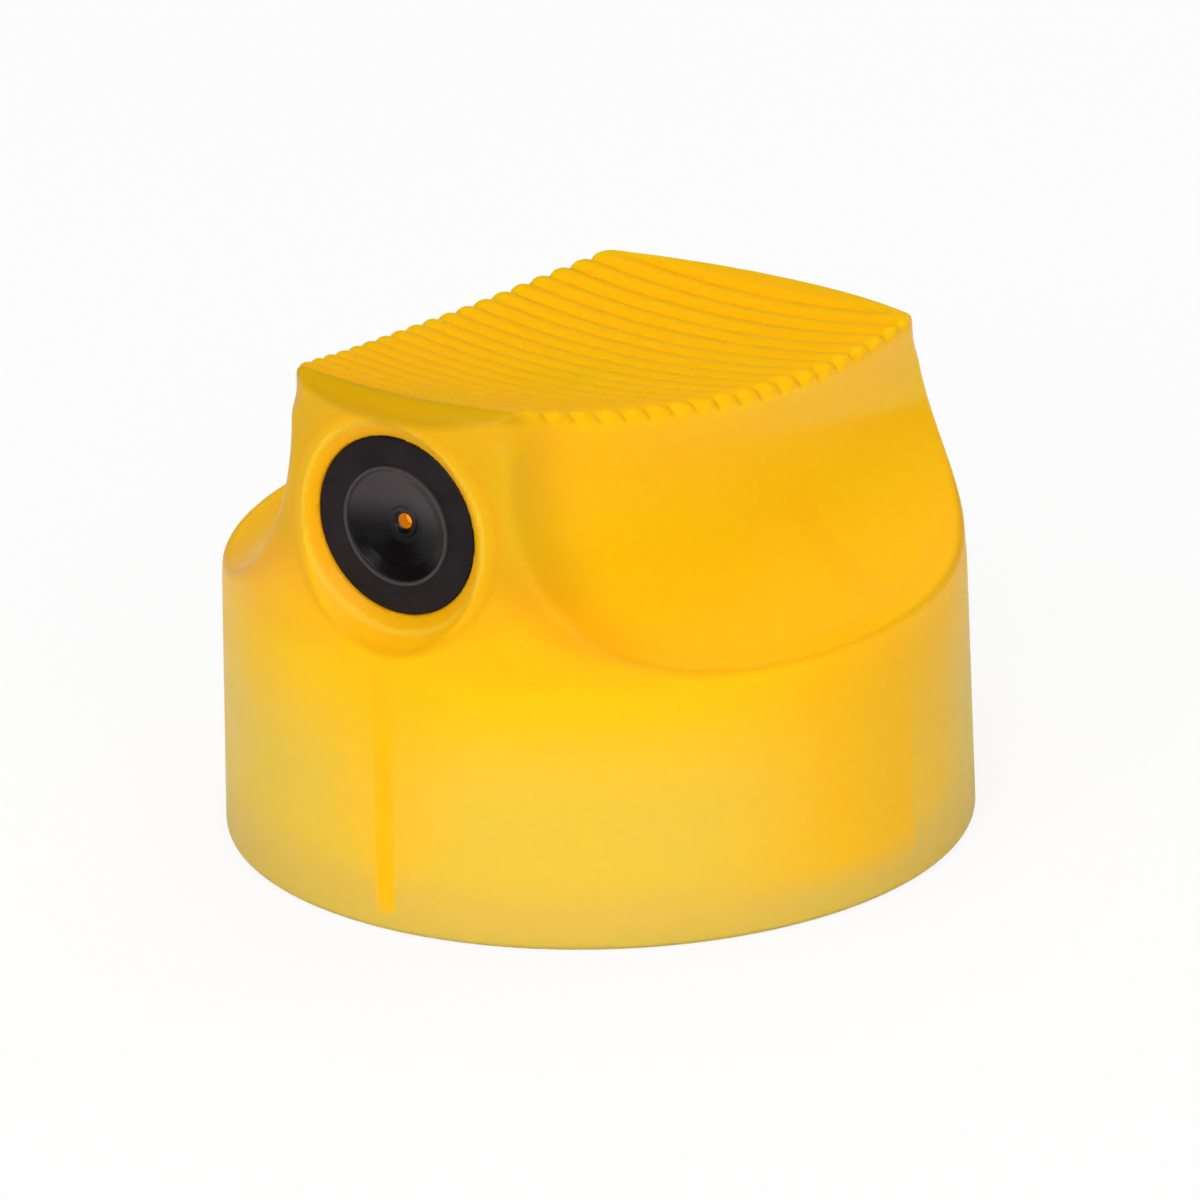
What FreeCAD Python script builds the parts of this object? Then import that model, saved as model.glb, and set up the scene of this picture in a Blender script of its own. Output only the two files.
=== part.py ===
"""One-piece spray cap with a ribbed finger pad, and the nozzle insert pressed into its front.

Millimetres. The origin is the centre of the skirt's lower edge. +Z is up, along the valve
stem, and the spray leaves towards -Y. The cap is symmetric about X = 0.
"""

import FreeCAD
import Part
import math
import os

from FreeCAD import Vector

# Outer envelope: a tapered round body, widest at the skirt and slimmer at the crown.
skirt_radius = 10.0
shoulder_draft = 0.095
crown_draft = 0.57
crown_below_pad = 0.65
shoulder_z = 7.0
skirt_edge_round = 0.2

# Skirt wall, with a thinner lead-in at its lower edge.
skirt_wall = 1.3
lead_in_wall = 0.95
lead_in_height = 1.6
lead_in_taper = 0.35

# Finger pad: long arcs bound its sides, it falls towards the back and it is troughed.
pad_front_z = 15.0
pad_fall = 2.78
pad_sag = 0.95
pad_front_margin = 0.395
pad_widest_y = 2.57
pad_side_arc = 33.7
pad_trough_arc = 28.8
pad_side_round = 0.45
rib_first_y = -8.28
rib_pitch = 0.866
rib_count = 19
rib_height = 0.16

# Side scoops: an upright wall under the pad's edge that sweeps out to the shoulder.
scoop_width = 4.3
scoop_below_pad = 2.34
scoop_top_slope = -0.087
scoop_above_shoulder = 0.5
scoop_floor_lowest_y = -4.0
scoop_floor_curve = 0.0037
rim_round = 0.2

# Hollow of the head, above the skirt.
head_wall = 1.2
ceiling_below_pad = 4.9
ceiling_slope = -0.067

# Socket for the valve stem.
stem_bore_radius = 1.975
stem_bore_depth = 5.5
socket_wall = 1.2
socket_mouth_z = 1.5
socket_lead_in = 0.35

# Webs between the socket and the skirt.
web_thickness = 0.75
web_skirt_z = 0.4
cross_web_y = 0.8

# Nozzle pocket, the boss round it and the channel that feeds it.
nozzle_below_pad = 3.86
insert_radius = 2.475
insert_length = 2.2
insert_recess = 0.62
boss_wall = 0.825
mouth_widening = 0.36
mouth_depth = 0.22
channel_radius = 0.8

# Front of the insert: a flat ring, a thin lip, a dish and a small ring round the orifice.
insert_edge = 0.1
lip_outer_radius = 1.66
lip_inner_radius = 1.54
lip_height = 0.06
dish_depth = 0.36
orifice_ring_outer = 0.42
orifice_ring_inner = 0.3
orifice_ring_height = 0.06
orifice_radius = 0.18
orifice_length = 0.4

# Places that follow from the sizes above.
shoulder_radius = skirt_radius - shoulder_draft
crown_radius = skirt_radius - crown_draft
crown_z = pad_front_z - crown_below_pad
pad_back_z = pad_front_z - pad_fall
scoop_top_z = pad_front_z - scoop_below_pad
scoop_floor_z = shoulder_z + scoop_above_shoulder
ceiling_z = pad_front_z - ceiling_below_pad
nozzle_z = pad_front_z - nozzle_below_pad
boss_radius = insert_radius + boss_wall
mouth_radius = insert_radius + mouth_widening
pad_front_half_width = mouth_radius + pad_front_margin
pad_side_bulge = pad_side_arc - math.sqrt(pad_side_arc ** 2 - (crown_radius + pad_widest_y) ** 2)
pad_half_width = pad_front_half_width + pad_side_bulge

# Room by which a cutting shape passes the material that it cuts.
OVER = 1.0

UP = Vector(0, 0, 1)
FRONT = Vector(0, -1, 0)
ACROSS = Vector(1, 0, 0)
ORIGIN = Vector(0, 0, 0)

# Height that every upward cut reaches, well above the pad.
HIGH_Z = pad_front_z + 3 * OVER


def chain(points):
    """Straight edges through a list of points."""
    return [Part.makeLine(a, b) for a, b in zip(points, points[1:])]


def closed_face(points):
    corners = [Vector(*p) for p in points]
    return Part.Face(Part.Wire(chain(corners + corners[:1])))


def turned(profile, axis=UP):
    """Solid of a face turned once round an axis through the origin."""
    return profile.revolve(ORIGIN, axis, 360)


def both_sides(shape):
    return [shape, shape.mirror(ORIGIN, ACROSS)]


def outer_radius(z):
    """Radius of the round envelope at a height."""
    if z <= shoulder_z:
        return skirt_radius + (shoulder_radius - skirt_radius) * z / shoulder_z
    share = (z - shoulder_z) / (crown_z - shoulder_z)
    return shoulder_radius + (crown_radius - shoulder_radius) * share


def insert_face_y():
    """Front of the insert, a little behind the round front of the cap."""
    return insert_recess - outer_radius(nozzle_z)


def envelope():
    """The round body before anything is cut from it."""
    profile = closed_face(
        [
            (0, 0, 0),
            (skirt_radius, 0, 0),
            (shoulder_radius, 0, shoulder_z),
            (outer_radius(HIGH_Z), 0, HIGH_Z),
            (0, 0, HIGH_Z),
        ]
    )
    return turned(profile)


def scoop_section(y, inset):
    """Closed outline across one scoop: upright wall, elliptical sweep and flat floor."""
    drop_in = pad_side_arc - math.sqrt(pad_side_arc**2 - (y - pad_widest_y) ** 2)
    wall_x = pad_half_width - drop_in - inset
    floor_z = scoop_floor_z + scoop_floor_curve * (y - scoop_floor_lowest_y) ** 2 - inset
    top_z = scoop_top_z + scoop_top_slope * y
    far_x = skirt_radius + 3 * OVER
    width = scoop_width + inset
    height = top_z - floor_z
    bend = math.sqrt(0.5)
    points = [
        Vector(wall_x, y, HIGH_Z),
        Vector(wall_x, y, top_z),
        Vector(wall_x + width * (1 - bend), y, top_z - height * bend),
        Vector(wall_x + width, y, floor_z),
        Vector(far_x, y, floor_z),
    ]
    down = -UP
    tangents = [down, down, Vector(width, 0, -height).normalize(), ACROSS, ACROSS]
    outline = Part.BSplineCurve()
    outline.interpolate(points, Tangents=tangents, TangentFlags=[True] * len(points))
    corners = [points[-1], Vector(far_x, y, HIGH_Z), points[0]]
    return Part.Wire([outline.toShape()] + chain(corners))


def scoop(inset=0.0):
    """Space beside the pad on the +X side. An inset moves its wall and floor into the body."""
    reach = skirt_radius + OVER
    stations = 6
    ys = [-reach + 2 * reach * i / stations for i in range(stations + 1)]
    return Part.makeLoft([scoop_section(y, inset) for y in ys], True, False)


def pad_z(y):
    """Height of the pad's middle line, which sags between its two ends."""
    share = (y + crown_radius) / (2 * crown_radius)
    chord = pad_front_z + (pad_back_z - pad_front_z) * share
    return chord - 4 * pad_sag * share * (1 - share)


def above(line):
    """Everything above a line along Y, turned on the wide arc of the pad's trough."""
    start = line[0].Vertexes[0].Point
    end = line[-1].Vertexes[-1].Point
    corners = [end, Vector(0, end.y, HIGH_Z), Vector(0, start.y, HIGH_Z), start]
    profile = Part.Face(Part.Wire(line + chain(corners)))
    centre = Vector(0, 0, pad_back_z + pad_trough_arc)
    reach = pad_half_width + 2 * OVER
    swing = math.degrees(math.asin(reach / (pad_trough_arc - (HIGH_Z - pad_back_z))))
    profile.rotate(centre, -FRONT, -swing)
    return profile.revolve(centre, -FRONT, 2 * swing)


def above_pad():
    """Space over the pad, without its ribs."""
    reach = skirt_radius + OVER
    ends = [Vector(0, y, pad_z(y)) for y in (-reach, 0, reach)]
    return above([Part.Arc(*ends).toShape()])


def above_ribs():
    """Space over the ribs: one shallow arc for each, with sharp valleys between them."""
    below_pad = rib_height / 8
    valleys = [rib_first_y + rib_pitch * i for i in range(rib_count + 1)]
    valleys = [Vector(0, y, pad_z(y) - rib_height) for y in valleys]
    line = []
    for start, end in zip(valleys, valleys[1:]):
        middle_y = (start.y + end.y) / 2
        crest = Vector(0, middle_y, pad_z(middle_y) - below_pad)
        line.append(Part.Arc(start, crest, end).toShape())
    return above(line)


def on_envelope(edge):
    """True for an edge that runs on the round outside of the head."""
    first, last = edge.ParameterRange
    points = [edge.valueAt(first + (last - first) * k / 4) for k in range(5)]
    near = 0.05
    gaps = [abs(math.hypot(p.x, p.y) - outer_radius(p.z)) for p in points]
    return max(gaps) < near and min(p.z for p in points) > shoulder_z + near


def head():
    """The outside of the cap: scooped sides, rounded pad and rounded rim, before the ribs."""
    body = envelope().cut(both_sides(scoop())).cut(above_pad())
    lower_edge = [e for e in body.Edges if e.BoundBox.ZMax < skirt_edge_round]
    body = body.makeFillet(skirt_edge_round, lower_edge)
    long_side = 1.5 * skirt_radius
    pad_bottom = pad_back_z - pad_sag
    sides = [e for e in body.Edges if e.BoundBox.ZMin > pad_bottom and e.Length > long_side]
    body = body.makeFillet(pad_side_round, sides)
    return body.makeFillet(rim_round, [e for e in body.Edges if on_envelope(e)])


def skirt_space():
    """Round space inside the skirt and the head, before the inner side of the scoops."""
    inner = skirt_radius - skirt_wall
    lead_in = skirt_radius - lead_in_wall
    return turned(
        closed_face(
            [
                (0, 0, -OVER),
                (lead_in, 0, -OVER),
                (lead_in, 0, lead_in_height),
                (inner, 0, lead_in_height + lead_in_taper),
                (shoulder_radius - skirt_wall, 0, shoulder_z),
                (outer_radius(crown_z) - skirt_wall, 0, crown_z),
                (0, 0, crown_z),
            ]
        )
    )


def above_ceiling():
    """Block that keeps the material between the hollow and the pad."""
    side = 4 * skirt_radius
    block = Part.makeBox(side, side, side, Vector(-side / 2, -side / 2, ceiling_z))
    block.rotate(Vector(0, 0, ceiling_z), ACROSS, math.degrees(math.atan(ceiling_slope)))
    return block


def hollow():
    """The open space under the head."""
    return skirt_space().cut(both_sides(scoop(head_wall)) + [above_ceiling()])


def web(angle):
    """A wall from the socket to the skirt, lower at the skirt than at the socket."""
    socket = stem_bore_radius + socket_wall
    face = closed_face(
        [
            (0, 0, socket_mouth_z),
            (socket, 0, socket_mouth_z),
            (skirt_radius, 0, web_skirt_z),
            (skirt_radius, 0, crown_z),
            (0, 0, crown_z),
        ]
    )
    plate = face.extrude(Vector(0, web_thickness, 0))
    plate.translate(Vector(0, -web_thickness / 2, 0))
    plate.rotate(ORIGIN, UP, angle)
    return plate


def inner_frame():
    """Socket, webs and nozzle boss, which stand in the hollow and join the walls round it."""
    socket = Part.makeCylinder(
        stem_bore_radius + socket_wall,
        crown_z - socket_mouth_z,
        Vector(0, 0, socket_mouth_z),
    )
    boss = Part.makeCylinder(boss_radius, skirt_radius, Vector(0, 0, nozzle_z), FRONT)
    cross_webs = [web(0), web(180)]
    for plate in cross_webs:
        plate.translate(Vector(0, cross_web_y, 0))
    return socket.fuse(cross_webs + [web(-90), boss])


def stem_passage():
    """Blind hole for the valve stem, its tapered mouth and the riser above it."""
    mouth = Vector(0, 0, socket_mouth_z)
    top = socket_mouth_z + stem_bore_depth
    bore = Part.makeCylinder(stem_bore_radius, stem_bore_depth, mouth)
    wide = stem_bore_radius + socket_lead_in
    lead_in = Part.makeCone(wide, stem_bore_radius, socket_lead_in, mouth)
    riser = Part.makeCylinder(channel_radius, nozzle_z - top, Vector(0, 0, top))
    return [bore, lead_in, riser]


def nozzle_passage():
    """Pocket that holds the insert, its tapered mouth and the feed channel behind it."""
    face_y = insert_face_y()
    back_y = face_y + insert_length
    face = Vector(0, face_y, nozzle_z)
    mouth_end = Vector(0, face_y - mouth_depth, nozzle_z)
    seat = Vector(0, back_y, nozzle_z)
    return [
        Part.makeCylinder(insert_radius, insert_length, seat, FRONT),
        Part.makeCone(insert_radius, mouth_radius, mouth_depth, face, FRONT),
        Part.makeCylinder(mouth_radius, OVER, mouth_end, FRONT),
        Part.makeCylinder(channel_radius, -back_y, Vector(0, 0, nozzle_z), FRONT),
        Part.makeSphere(channel_radius, Vector(0, 0, nozzle_z)),
    ]


def cap_body():
    inside = hollow().cut(inner_frame())
    return head().cut([above_ribs(), inside] + stem_passage() + nozzle_passage())


def nozzle_insert():
    """Turned insert. Its profile runs from the outer front edge to the orifice and back."""

    def at(radius, depth):
        return (radius, insert_face_y() + depth, 0)

    ring_depth = dish_depth - orifice_ring_height
    neck = dish_depth + orifice_length
    profile = closed_face(
        [
            at(insert_radius, insert_length),
            at(insert_radius, insert_edge),
            at(insert_radius - insert_edge, 0),
            at(lip_outer_radius, 0),
            at(lip_outer_radius - lip_height / 2, -lip_height),
            at(lip_inner_radius + lip_height / 2, -lip_height),
            at(lip_inner_radius, 0),
            at(orifice_ring_outer, dish_depth),
            at(orifice_ring_outer, ring_depth),
            at(orifice_ring_inner, ring_depth),
            at(orifice_radius, dish_depth),
            at(orifice_radius, neck),
            at(channel_radius, neck),
            at(channel_radius, insert_length),
        ]
    )
    insert = turned(profile, FRONT)
    insert.translate(Vector(0, 0, nozzle_z))
    return insert


def main():
    os.makedirs("parts", exist_ok=True)
    nodes = {"cap_body": cap_body(), "nozzle_insert": nozzle_insert()}
    for name, shape in nodes.items():
        print(name, len(shape.Solids), shape.isValid(), round(shape.Volume, 2))
        shape.exportStep(os.path.join("parts", name + ".step"))


main()
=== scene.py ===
"""Looks of the spray cap: a ribbed, moulded translucent cap and its black nozzle insert.

The cap's surface is found from distance fields, so every edge and inner corner has the soft
round of a moulded part. Fields, sizes and profiles are in millimetres; the scene is in metres.
The axes are the CAD frame's: +Z up along the valve stem, and the spray leaves towards -Y.
"""

import math

import bmesh
import bpy
import numpy as np
from mathutils import Matrix, Vector

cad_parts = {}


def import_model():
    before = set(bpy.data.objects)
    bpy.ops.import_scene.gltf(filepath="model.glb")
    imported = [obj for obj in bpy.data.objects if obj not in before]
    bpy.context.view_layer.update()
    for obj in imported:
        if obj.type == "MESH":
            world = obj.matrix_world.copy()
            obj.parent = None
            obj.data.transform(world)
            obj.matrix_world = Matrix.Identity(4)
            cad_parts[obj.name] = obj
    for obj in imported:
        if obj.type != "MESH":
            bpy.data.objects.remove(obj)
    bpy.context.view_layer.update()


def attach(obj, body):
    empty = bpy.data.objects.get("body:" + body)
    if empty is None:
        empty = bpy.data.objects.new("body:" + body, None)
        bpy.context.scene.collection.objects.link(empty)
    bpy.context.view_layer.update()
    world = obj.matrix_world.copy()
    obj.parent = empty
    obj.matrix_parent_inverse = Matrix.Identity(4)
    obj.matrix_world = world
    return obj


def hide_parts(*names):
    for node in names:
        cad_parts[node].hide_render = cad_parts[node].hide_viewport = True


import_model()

MM = 0.001

# Round envelope: radius at the foot, at the shoulder and at the crown.
FOOT_R = 10.0
SHOULDER_R, SHOULDER_Z = 9.905, 7.0
CROWN_R, CROWN_Z = 9.43, 14.35
FOOT_ROUND = 0.2

# Skirt wall and its thinner lead-in.
WALL = 1.3
LEAD_WALL, LEAD_Z, LEAD_TAPER = 0.95, 1.6, 0.35

# Finger pad. A pair in brackets is a band over which one value runs into the next, and that of
# RIB_SIDE_FADE is in shares of the side's round.
PAD_FRONT_Z, PAD_BACK_Z = 14.97, 12.2
PAD_SAG, PAD_SKEW = 0.95, 0.15
PAD_TROUGH_R, PAD_TROUGH_REACH = 28.8, 12
PAD_HALF_WIDTH, PAD_WIDEST_Y, PAD_SIDE_R = 5.44, 2.57, 33.7
SIDE_ROUND, SIDE_ROUND_FRONT, SIDE_ROUND_BACK = 0.44, 0.3, 0.24
FRONT_ROUND, BACK_ROUND = 0.66, 0.38
SIDE_TO_FRONT, SIDE_TO_BACK = (4.5, 8.5), (1.0, 7.0)
END_ROUND_BAND = (-1.5, -0.7)
RIB_FIRST_Y, RIB_PITCH, RIB_COUNT, RIB_DEPTH = -8.28, 0.866, 19, 0.16
VALLEY_ROUND = 0.04
RIB_SIDE_FADE, RIB_END_FADE = (-1.15, -0.75), (-0.3, -0.75)

# Scoops beside the pad.
SCOOP_WIDTH = 4.3
SCOOP_TOP_Z, SCOOP_TOP_SLOPE = 12.66, -0.087
SCOOP_FLOOR_Z, SCOOP_LOWEST_Y, SCOOP_CURVE = 7.5, -4.0, 0.0037
RIM_ROUND = 0.17

# Lower edge of the pale strip on the wall under the pad.
STRIP_Z, STRIP_SLOPE = 11.75, -0.19

# Hollow, socket, webs and nozzle boss.
HEAD_WALL = 1.2
CEILING_Z, CEILING_SLOPE = 10.1, -0.067
BORE_R, BORE_TOP_Z = 1.975, 7.0
SOCKET_R, SOCKET_Z, SOCKET_LEAD = 3.175, 1.5, 0.35
WEB, WEB_SKIRT_Z, CROSS_WEB_Y = 0.75, 0.4, 0.8
NOZZLE_Z, BOSS_R = 11.14, 3.3
POCKET_R, MOUTH_R, MOUTH_DEPTH = 2.475, 2.835, 0.22
FACE_Y, INSERT_LENGTH, MOUTH_FLARE = -9.02, 2.2, 1.0
CHANNEL_R = 0.8
INNER_FILLET, WEB_FILLET, WEB_ROUND = 0.28, 0.12, 0.12
HOLLOW_ROUND, PASSAGE_ROUND = 0.16, 0.09
OVERCUT = 1.0

# Factors that bring a field down to a distance where its surface slopes.
ENVELOPE_SHARE, PAD_SHARE, SCOOP_SHARE, MOUTH_SHARE = 0.999, 0.975, 0.97, 0.8

# Grid of the fields. Its offsets, in cells, keep its planes out of the cap's flat faces.
STEP = 0.115
GRID_MARGIN, SIDE_OFFSET, UP_OFFSET = 3, 0.37, 0.21
HEAD_ROOM = 0.6

# How far back plastic counts towards a tone, and how softly.
NEAR_REACH, NEAR_BLUR = 3.6, 0.16
FAR_REACH, FAR_BLUR = 6.0, 0.9
DEPTH_SAMPLES = 24

# Faces that belong to the finger pad: how level they are, and how near its crests.
PAD_LEVEL, PAD_SKIN = 0.8, 0.3


def smooth(x, low, high):
    """An eased change from 0 at low to 1 at high, and level beyond them."""
    t = np.clip((x - low) / (high - low), 0, 1)
    return t * t * (3 - 2 * t)


def both(a, b, r):
    """Where both solids are, with the outer edge between them rounded."""
    over = np.hypot(np.maximum(r + a, 0), np.maximum(r + b, 0))
    return np.minimum(-r, np.maximum(a, b)) + over


def either(a, b, r):
    """Where either solid is, with the inner corner between them filled."""
    return -both(-a, -b, r)


def outer_r(z):
    low = FOOT_R + (SHOULDER_R - FOOT_R) * z / SHOULDER_Z
    high = SHOULDER_R + (CROWN_R - SHOULDER_R) * (z - SHOULDER_Z) / (CROWN_Z - SHOULDER_Z)
    return np.where(z < SHOULDER_Z, low, high)


def pad_half_width(y):
    return PAD_HALF_WIDTH - PAD_SIDE_R + np.sqrt(PAD_SIDE_R**2 - (y - PAD_WIDEST_Y) ** 2)


def pad_height(x, y):
    share = (y + CROWN_R) / (2 * CROWN_R)
    sag = 4 * PAD_SAG * share * (1 - share) * (1 + PAD_SKEW * (share - 0.5))
    trough = PAD_TROUGH_R - np.sqrt(PAD_TROUGH_R**2 - np.minimum(x, PAD_TROUGH_REACH) ** 2)
    return PAD_FRONT_Z + (PAD_BACK_Z - PAD_FRONT_Z) * share - sag + trough


def rib_relief(y):
    """How far the ribbed pad lies below its crests: round crests and narrow valleys."""
    half = RIB_PITCH / 2
    arc_r = (half**2 + RIB_DEPTH**2) / (2 * RIB_DEPTH)
    along = (y - RIB_FIRST_Y) / RIB_PITCH
    inside = (along > 0) & (along < RIB_COUNT)
    past = np.where(along <= 0, -along, along - RIB_COUNT)
    from_crest = np.where(inside, (along % 1) - 0.5, np.maximum(0.5 - past, 0))
    to_valley = half - np.abs(from_crest) * RIB_PITCH
    from_middle = half - np.sqrt(to_valley**2 + VALLEY_ROUND**2)
    return arc_r - np.sqrt(arc_r**2 - from_middle**2)


def scoop(x, y, z, inset=0.0):
    """Positive in the space of a scoop that is moved into the body by the inset."""
    wall_x = pad_half_width(y) - inset
    floor_z = SCOOP_FLOOR_Z + SCOOP_CURVE * (y - SCOOP_LOWEST_Y) ** 2 - inset
    across = SCOOP_WIDTH + inset
    top_z = SCOOP_TOP_Z + SCOOP_TOP_SLOPE * y
    down = top_z - floor_z
    ex, ez = (x - wall_x - across) / across, (z - top_z) / down
    k0 = np.maximum(np.hypot(ex, ez), 1e-6)
    k1 = np.maximum(np.hypot(ex / across, ez / down), 1e-6)
    sweep = k0 * (1 - k0) / k1
    beside, above = x - wall_x, z - floor_z
    field = np.where((ex < 0) & (ez < 0), sweep, np.minimum(beside, above))
    field = np.where((ex < 0) & (ez >= 0), beside, field)
    field = np.where((ex >= 0) & (ez < 0), above, field)
    return field * SCOOP_SHARE


def outside(x, y, z):
    """The cap from outside: envelope, scoops, pad and ribs."""
    rho = np.hypot(x, y)
    envelope = (rho - outer_r(z)) * ENVELOPE_SHARE
    pad = (z - pad_height(x, y)) * PAD_SHARE
    side_round = SIDE_ROUND + (SIDE_ROUND_FRONT - SIDE_ROUND) * smooth(-y, *SIDE_TO_FRONT)
    side_round = side_round + (SIDE_ROUND_BACK - SIDE_ROUND) * smooth(y, *SIDE_TO_BACK)
    body = both(pad, scoop(x, y, z), side_round)
    near_pad = smooth(pad, *END_ROUND_BAND)
    end_round = np.where(y < 0, FRONT_ROUND, BACK_ROUND)
    body = both(body, envelope, RIM_ROUND + (end_round - RIM_ROUND) * near_pad)
    on_top = smooth(pad, RIB_SIDE_FADE[0] * side_round, RIB_SIDE_FADE[1] * side_round)
    on_top = on_top * smooth(envelope, *RIB_END_FADE)
    body = body + rib_relief(y) * on_top
    return both(body, -z, FOOT_ROUND)


def inner_r(z):
    straight = outer_r(z) - WALL
    lead = FOOT_R - LEAD_WALL
    taper = lead + (FOOT_R - WALL - lead) * (z - LEAD_Z) / LEAD_TAPER
    return np.where(z < LEAD_Z, lead, np.where(z < LEAD_Z + LEAD_TAPER, taper, straight))


def inner_frame(x, y, z):
    """Socket, its webs and the boss round the nozzle pocket."""
    rho = np.hypot(x, y)
    socket = np.maximum(rho - SOCKET_R, SOCKET_Z - z)
    reach = np.clip((rho - SOCKET_R) / (FOOT_R - SOCKET_R), 0, 1)
    foot = SOCKET_Z + (WEB_SKIRT_Z - SOCKET_Z) * reach - z
    cross_web = both(np.abs(y - CROSS_WEB_Y) - WEB / 2, foot, WEB_ROUND)
    front_web = both(np.maximum(np.abs(x) - WEB / 2, y), foot, WEB_ROUND)
    boss = np.maximum(np.hypot(x, z - NOZZLE_Z) - BOSS_R, y)
    body = either(cross_web, front_web, INNER_FILLET)
    body = either(body, socket, INNER_FILLET)
    return either(body, boss, INNER_FILLET)


def hollow(x, y, z):
    rho = np.hypot(x, y)
    ceiling = z - CEILING_Z - CEILING_SLOPE * y
    space = both(rho - inner_r(z), ceiling, INNER_FILLET)
    space = both(space, scoop(x, y, z, HEAD_WALL), INNER_FILLET)
    return both(space, -inner_frame(x, y, z), WEB_FILLET)


def passages(x, y, z):
    """Stem bore, riser, feed channel and nozzle pocket."""
    rho = np.hypot(x, y)
    lead = BORE_R + np.clip(SOCKET_LEAD - (z - SOCKET_Z), 0, SOCKET_LEAD)
    bore = np.maximum(np.maximum(rho - lead, z - BORE_TOP_Z), SOCKET_Z - OVERCUT - z)
    riser = np.maximum(rho - CHANNEL_R, np.maximum(z - NOZZLE_Z, SOCKET_Z - z))
    away = np.hypot(x, z - NOZZLE_Z)
    seat_y = FACE_Y + INSERT_LENGTH
    widening = np.clip((FACE_Y - y) / MOUTH_DEPTH, 0, 1)
    flare = MOUTH_FLARE * np.clip(FACE_Y - MOUTH_DEPTH - y, 0, 1)
    mouth_r = POCKET_R + (MOUTH_R - POCKET_R) * widening + flare
    pocket = np.maximum((away - mouth_r) * MOUTH_SHARE, y - seat_y)
    channel = np.maximum(away - CHANNEL_R, y)
    return np.minimum(np.minimum(bore, riser), np.minimum(pocket, channel))


def cap_field(x, y, z):
    """Below 0 in the plastic. The cap is the same on both sides of X = 0."""
    x = np.abs(x)
    body = both(outside(x, y, z), -hollow(x, y, z), HOLLOW_ROUND)
    return both(body, -passages(x, y, z), PASSAGE_ROUND)


def gradient(field, p, h=0.01):
    """Slope of the field at the points p, taken over h on either side."""
    columns = []
    for axis in range(3):
        shift = np.zeros(3)
        shift[axis] = h
        ahead, behind = p + shift, p - shift
        columns.append((field(*ahead.T) - field(*behind.T)) / (2 * h))
    return np.stack(columns, 1)


def grid_axes():
    margin = GRID_MARGIN * STEP
    half = FOOT_R + margin
    count = int(math.ceil(half / STEP))
    side = (np.arange(-count, count + 1)) * STEP + STEP * SIDE_OFFSET
    up = np.arange(-margin, PAD_FRONT_Z + HEAD_ROOM + margin, STEP) + STEP * UP_OFFSET
    return side, side, up


def sample(field):
    """The field on the whole grid, one slab at a time."""
    xs, ys, zs = grid_axes()
    values = np.empty((len(xs), len(ys), len(zs)), np.float32)
    flat_y, flat_z = np.meshgrid(ys, zs, indexing="ij")
    for i, x in enumerate(xs):
        values[i] = field(np.full_like(flat_y, x), flat_y, flat_z)
    return values


def surface(values):
    """Surface nets: one vertex for each cell the surface crosses, one quad for each edge."""
    xs, ys, zs = grid_axes()
    origin = np.array([xs[0], ys[0], zs[0]])
    solid = values < 0
    shape = np.array(values.shape) - 1
    total = np.zeros(tuple(shape) + (3,), np.float32)
    crossings = np.zeros(tuple(shape), np.uint8)
    faces = []
    cell = np.arange(int(np.prod(shape))).reshape(tuple(shape))
    for axis in range(3):
        near = [slice(None)] * 3
        far = [slice(None)] * 3
        near[axis], far[axis] = slice(0, -1), slice(1, None)
        a, b = values[tuple(near)], values[tuple(far)]
        change = solid[tuple(near)] != solid[tuple(far)]
        index = np.argwhere(change)
        start, end = a[change], b[change]
        share = start / (start - end)
        point = index.astype(np.float32)
        point[:, axis] += share
        others = [k for k in range(3) if k != axis]
        corners = []
        inside = np.ones(len(index), bool)
        for d0, d1 in ((-1, -1), (0, -1), (0, 0), (-1, 0)):
            c = index.copy()
            c[:, others[0]] += d0
            c[:, others[1]] += d1
            inside &= ((c >= 0) & (c < shape)).all(1)
            corners.append(c)
        for c in corners:
            keep = ((c >= 0) & (c < shape)).all(1)
            np.add.at(total, tuple(c[keep].T), point[keep])
            np.add.at(crossings, tuple(c[keep].T), 1)
        ids = np.stack([cell[tuple(c[inside].T)] for c in corners], 1)
        flip = (start < 0)[inside] ^ (axis == 1)
        ids[~flip] = ids[~flip][:, ::-1]
        faces.append(ids)
    faces = np.concatenate(faces)
    used, faces = np.unique(faces, return_inverse=True)
    faces = faces.reshape(-1, 4)
    where = np.unravel_index(used, tuple(shape))
    points = total[where] / crossings[where][:, None]
    return points.astype(float) * STEP + origin, faces


def settle(field, points, rounds=3):
    """Moves points onto the surface along its normal, by no more than half a cell each round."""
    least_steep, furthest = 0.2, 0.5 * STEP
    for _ in range(rounds):
        slope = gradient(field, points)
        steep = np.maximum((slope**2).sum(1), least_steep)
        move = field(*points.T) / steep
        move = np.clip(move, -furthest, furthest)
        points = points - slope * move[:, None]
    return points


def blurred(values, sigma):
    """Gaussian blur of a grid along its three axes. Sigma is in cells."""
    reach = int(3 * sigma) + 1
    weights = np.exp(-0.5 * (np.arange(-reach, reach + 1) / sigma) ** 2)
    weights /= weights.sum()
    for axis in range(3):
        padded = np.concatenate([np.take(values, [0] * reach, axis), values,
                                 np.take(values, [-1] * reach, axis)], axis)
        length = values.shape[axis]
        out = np.zeros_like(values)
        for k, w in enumerate(weights):
            cut = [slice(None)] * 3
            cut[axis] = slice(k, k + length)
            out += w * padded[tuple(cut)]
        values = out
    return values


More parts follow.
